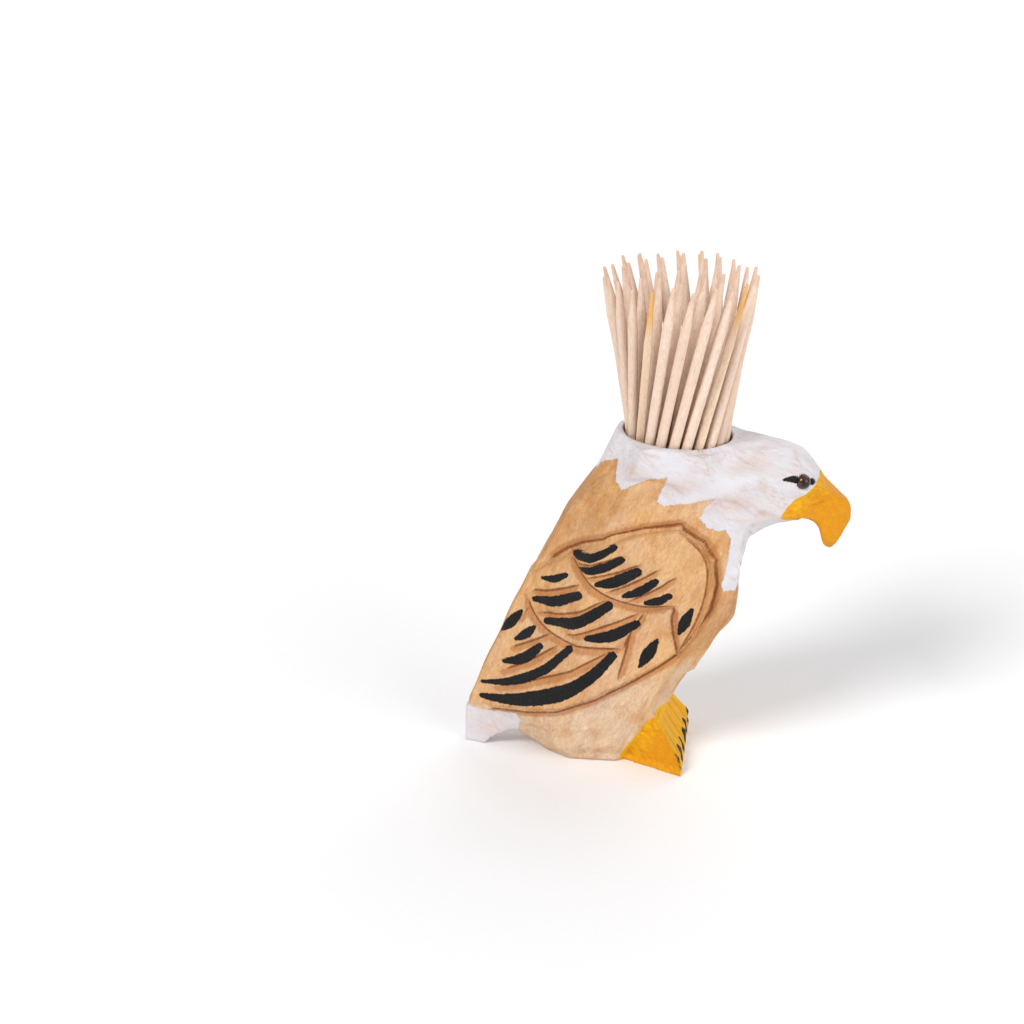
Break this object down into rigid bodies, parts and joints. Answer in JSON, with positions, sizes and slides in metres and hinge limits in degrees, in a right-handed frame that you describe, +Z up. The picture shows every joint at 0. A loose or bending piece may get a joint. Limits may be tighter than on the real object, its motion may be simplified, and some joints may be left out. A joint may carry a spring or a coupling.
{
  "type": "toothpick dispenser",
  "caption": "Small carved wooden eagle with folded wings, a hooked beak and a splayed foot, drilled from the top as an open holder for a bundle of loose toothpicks.",
  "frame": {"origin": "on the table surface, straight below the middle of the pick hole's floor", "axes": "+X towards the beak, +Y towards the bird's left wing, +Z up"},
  "size_m": [0.0762, 0.0299, 0.1019],
  "materials": {
    "carved_wood": "stained and painted by hand",
    "bead": "glossy",
    "pick_wood": "bare",
    "bamboo": "bare",
    "green_bamboo": "bamboo skin"
  },
  "bodies": {
    "holder": {"carved_body": "carved_wood", "eye_left": "bead", "eye_right": "bead"},
    "bamboo_sliver_1": {"bamboo_sliver_1": "bamboo"},
    "toothpick_02": {"toothpick_02": "pick_wood"},
    "knotted_bamboo_pick": {"knotted_bamboo_pick": "green_bamboo"},
    "toothpick_04": {"toothpick_04": "pick_wood"},
    "toothpick_05": {"toothpick_05": "pick_wood"},
    "toothpick_06": {"toothpick_06": "pick_wood"},
    "toothpick_07": {"toothpick_07": "pick_wood"},
    "toothpick_08": {"toothpick_08": "pick_wood"},
    "toothpick_09": {"toothpick_09": "pick_wood"},
    "toothpick_10": {"toothpick_10": "pick_wood"},
    "toothpick_11": {"toothpick_11": "pick_wood"},
    "bamboo_sliver_2": {"bamboo_sliver_2": "bamboo"},
    "toothpick_13": {"toothpick_13": "pick_wood"},
    "toothpick_14": {"toothpick_14": "pick_wood"},
    "toothpick_15": {"toothpick_15": "pick_wood"},
    "toothpick_16": {"toothpick_16": "pick_wood"},
    "bamboo_sliver_3": {"bamboo_sliver_3": "bamboo"},
    "toothpick_18": {"toothpick_18": "pick_wood"},
    "toothpick_19": {"toothpick_19": "pick_wood"},
    "toothpick_20": {"toothpick_20": "pick_wood"},
    "toothpick_21": {"toothpick_21": "pick_wood"},
    "toothpick_22": {"toothpick_22": "pick_wood"},
    "toothpick_23": {"toothpick_23": "pick_wood"},
    "toothpick_24": {"toothpick_24": "pick_wood"},
    "toothpick_25": {"toothpick_25": "pick_wood"},
    "toothpick_26": {"toothpick_26": "pick_wood"},
    "toothpick_27": {"toothpick_27": "pick_wood"},
    "toothpick_28": {"toothpick_28": "pick_wood"},
    "toothpick_29": {"toothpick_29": "pick_wood"},
    "toothpick_30": {"toothpick_30": "pick_wood"},
    "toothpick_31": {"toothpick_31": "pick_wood"},
    "toothpick_32": {"toothpick_32": "pick_wood"},
    "toothpick_33": {"toothpick_33": "pick_wood"},
    "toothpick_34": {"toothpick_34": "pick_wood"},
    "toothpick_35": {"toothpick_35": "pick_wood"},
    "toothpick_36": {"toothpick_36": "pick_wood"},
    "toothpick_37": {"toothpick_37": "pick_wood"},
    "toothpick_38": {"toothpick_38": "pick_wood"},
    "toothpick_39": {"toothpick_39": "pick_wood"},
    "toothpick_40": {"toothpick_40": "pick_wood"},
    "toothpick_41": {"toothpick_41": "pick_wood"},
    "toothpick_42": {"toothpick_42": "pick_wood"},
    "toothpick_43": {"toothpick_43": "pick_wood"},
    "toothpick_44": {"toothpick_44": "pick_wood"},
    "toothpick_45": {"toothpick_45": "pick_wood"},
    "toothpick_46": {"toothpick_46": "pick_wood"},
    "toothpick_47": {"toothpick_47": "pick_wood"},
    "toothpick_48": {"toothpick_48": "pick_wood"},
    "toothpick_49": {"toothpick_49": "pick_wood"}
  },
  "joints": [
    {"name": "bamboo_sliver_1_draw", "type": "slide", "parent": "holder", "child": "bamboo_sliver_1", "axis": [-0.1029, 0.2241, 0.9691], "range_m": [0, 0.036]},
    {"name": "toothpick_02_draw", "type": "slide", "parent": "holder", "child": "toothpick_02", "axis": [-0.1631, 0.1874, 0.9686], "range_m": [0, 0.036]},
    {"name": "knotted_bamboo_pick_draw", "type": "slide", "parent": "holder", "child": "knotted_bamboo_pick", "axis": [-0.2056, 0.1374, 0.9689], "range_m": [0, 0.036]},
    {"name": "toothpick_04_draw", "type": "slide", "parent": "holder", "child": "toothpick_04", "axis": [-0.2378, 0.0745, 0.9685], "range_m": [0, 0.036]},
    {"name": "toothpick_05_draw", "type": "slide", "parent": "holder", "child": "toothpick_05", "axis": [-0.2478, 0.0094, 0.9688], "range_m": [0, 0.036]},
    {"name": "toothpick_06_draw", "type": "slide", "parent": "holder", "child": "toothpick_06", "axis": [-0.2405, -0.0557, 0.9691], "range_m": [0, 0.036]},
    {"name": "toothpick_07_draw", "type": "slide", "parent": "holder", "child": "toothpick_07", "axis": [-0.2167, -0.1221, 0.9686], "range_m": [0, 0.036]},
    {"name": "toothpick_08_draw", "type": "slide", "parent": "holder", "child": "toothpick_08", "axis": [-0.1762, -0.1738, 0.9689], "range_m": [0, 0.036]},
    {"name": "toothpick_09_draw", "type": "slide", "parent": "holder", "child": "toothpick_09", "axis": [-0.1211, -0.2181, 0.9684], "range_m": [0, 0.036]},
    {"name": "toothpick_10_draw", "type": "slide", "parent": "holder", "child": "toothpick_10", "axis": [-0.0593, -0.2411, 0.9687], "range_m": [0, 0.036]},
    {"name": "toothpick_11_draw", "type": "slide", "parent": "holder", "child": "toothpick_11", "axis": [0.006, -0.247, 0.969], "range_m": [0, 0.036]},
    {"name": "bamboo_sliver_2_draw", "type": "slide", "parent": "holder", "child": "bamboo_sliver_2", "axis": [0.076, -0.2371, 0.9685], "range_m": [0, 0.036]},
    {"name": "toothpick_13_draw", "type": "slide", "parent": "holder", "child": "toothpick_13", "axis": [0.1349, -0.2079, 0.9688], "range_m": [0, 0.036]},
    {"name": "toothpick_14_draw", "type": "slide", "parent": "holder", "child": "toothpick_14", "axis": [0.1838, -0.1645, 0.9691], "range_m": [0, 0.036]},
    {"name": "toothpick_15_draw", "type": "slide", "parent": "holder", "child": "toothpick_15", "axis": [0.2244, -0.1068, 0.9686], "range_m": [0, 0.036]},
    {"name": "toothpick_16_draw", "type": "slide", "parent": "holder", "child": "toothpick_16", "axis": [0.2435, -0.044, 0.9689], "range_m": [0, 0.036]},
    {"name": "bamboo_sliver_3_draw", "type": "slide", "parent": "holder", "child": "bamboo_sliver_3", "axis": [0.2479, 0.0266, 0.9684], "range_m": [0, 0.036]},
    {"name": "toothpick_18_draw", "type": "slide", "parent": "holder", "child": "toothpick_18", "axis": [0.2311, 0.0903, 0.9687], "range_m": [0, 0.036]},
    {"name": "toothpick_19_draw", "type": "slide", "parent": "holder", "child": "toothpick_19", "axis": [0.1984, 0.1471, 0.969], "range_m": [0, 0.036]},
    {"name": "toothpick_20_draw", "type": "slide", "parent": "holder", "child": "toothpick_20", "axis": [0.1501, 0.1985, 0.9685], "range_m": [0, 0.036]},
    {"name": "toothpick_21_draw", "type": "slide", "parent": "holder", "child": "toothpick_21", "axis": [0.0923, 0.2298, 0.9688], "range_m": [0, 0.036]},
    {"name": "toothpick_22_draw", "type": "slide", "parent": "holder", "child": "toothpick_22", "axis": [0.024, 0.2484, 0.9684], "range_m": [0, 0.036]},
    {"name": "toothpick_23_draw", "type": "slide", "parent": "holder", "child": "toothpick_23", "axis": [-0.0419, 0.2448, 0.9687], "range_m": [0, 0.036]},
    {"name": "toothpick_24_draw", "type": "slide", "parent": "holder", "child": "toothpick_24", "axis": [-0.1146, 0.1431, 0.983], "range_m": [0, 0.036]},
    {"name": "toothpick_25_draw", "type": "slide", "parent": "holder", "child": "toothpick_25", "axis": [-0.1639, 0.0865, 0.9827], "range_m": [0, 0.036]},
    {"name": "toothpick_26_draw", "type": "slide", "parent": "holder", "child": "toothpick_26", "axis": [-0.1831, 0.019, 0.9829], "range_m": [0, 0.036]},
    {"name": "toothpick_27_draw", "type": "slide", "parent": "holder", "child": "toothpick_27", "axis": [-0.1758, -0.0503, 0.9831], "range_m": [0, 0.036]},
    {"name": "toothpick_28_draw", "type": "slide", "parent": "holder", "child": "toothpick_28", "axis": [-0.1428, -0.1174, 0.9828], "range_m": [0, 0.036]},
    {"name": "toothpick_29_draw", "type": "slide", "parent": "holder", "child": "toothpick_29", "axis": [-0.0881, -0.1611, 0.983], "range_m": [0, 0.036]},
    {"name": "toothpick_30_draw", "type": "slide", "parent": "holder", "child": "toothpick_30", "axis": [-0.0168, -0.1849, 0.9826], "range_m": [0, 0.036]},
    {"name": "toothpick_31_draw", "type": "slide", "parent": "holder", "child": "toothpick_31", "axis": [0.053, -0.1766, 0.9829], "range_m": [0, 0.036]},
    {"name": "toothpick_32_draw", "type": "slide", "parent": "holder", "child": "toothpick_32", "axis": [0.1143, -0.1431, 0.9831], "range_m": [0, 0.036]},
    {"name": "toothpick_33_draw", "type": "slide", "parent": "holder", "child": "toothpick_33", "axis": [0.1636, -0.0867, 0.9827], "range_m": [0, 0.036]},
    {"name": "toothpick_34_draw", "type": "slide", "parent": "holder", "child": "toothpick_34", "axis": [0.1829, -0.0193, 0.9829], "range_m": [0, 0.036]},
    {"name": "toothpick_35_draw", "type": "slide", "parent": "holder", "child": "toothpick_35", "axis": [0.1758, 0.05, 0.9832], "range_m": [0, 0.036]},
    {"name": "toothpick_36_draw", "type": "slide", "parent": "holder", "child": "toothpick_36", "axis": [0.1428, 0.1171, 0.9828], "range_m": [0, 0.036]},
    {"name": "toothpick_37_draw", "type": "slide", "parent": "holder", "child": "toothpick_37", "axis": [0.0882, 0.1609, 0.983], "range_m": [0, 0.036]},
    {"name": "toothpick_38_draw", "type": "slide", "parent": "holder", "child": "toothpick_38", "axis": [0.0171, 0.1847, 0.9827], "range_m": [0, 0.036]},
    {"name": "toothpick_39_draw", "type": "slide", "parent": "holder", "child": "toothpick_39", "axis": [-0.0527, 0.1765, 0.9829], "range_m": [0, 0.036]},
    {"name": "toothpick_40_draw", "type": "slide", "parent": "holder", "child": "toothpick_40", "axis": [-0.1114, 0.0433, 0.9928], "range_m": [0, 0.036]},
    {"name": "toothpick_41_draw", "type": "slide", "parent": "holder", "child": "toothpick_41", "axis": [-0.1167, -0.0341, 0.9926], "range_m": [0, 0.036]},
    {"name": "toothpick_42_draw", "type": "slide", "parent": "holder", "child": "toothpick_42", "axis": [-0.0751, -0.094, 0.9927], "range_m": [0, 0.036]},
    {"name": "toothpick_43_draw", "type": "slide", "parent": "holder", "child": "toothpick_43", "axis": [-0.0025, -0.1223, 0.9925], "range_m": [0, 0.036]},
    {"name": "toothpick_44_draw", "type": "slide", "parent": "holder", "child": "toothpick_44", "axis": [0.0676, -0.1005, 0.9926], "range_m": [0, 0.036]},
    {"name": "toothpick_45_draw", "type": "slide", "parent": "holder", "child": "toothpick_45", "axis": [0.1119, -0.043, 0.9928], "range_m": [0, 0.036]},
    {"name": "toothpick_46_draw", "type": "slide", "parent": "holder", "child": "toothpick_46", "axis": [0.1169, 0.0346, 0.9925], "range_m": [0, 0.036]},
    {"name": "toothpick_47_draw", "type": "slide", "parent": "holder", "child": "toothpick_47", "axis": [0.075, 0.0945, 0.9927], "range_m": [0, 0.036]},
    {"name": "toothpick_48_draw", "type": "slide", "parent": "holder", "child": "toothpick_48", "axis": [0.007, 0.1192, 0.9929], "range_m": [0, 0.036]},
    {"name": "toothpick_49_draw", "type": "slide", "parent": "holder", "child": "toothpick_49", "axis": [-0.0681, 0.1005, 0.9926], "range_m": [0, 0.036]}
  ]
}
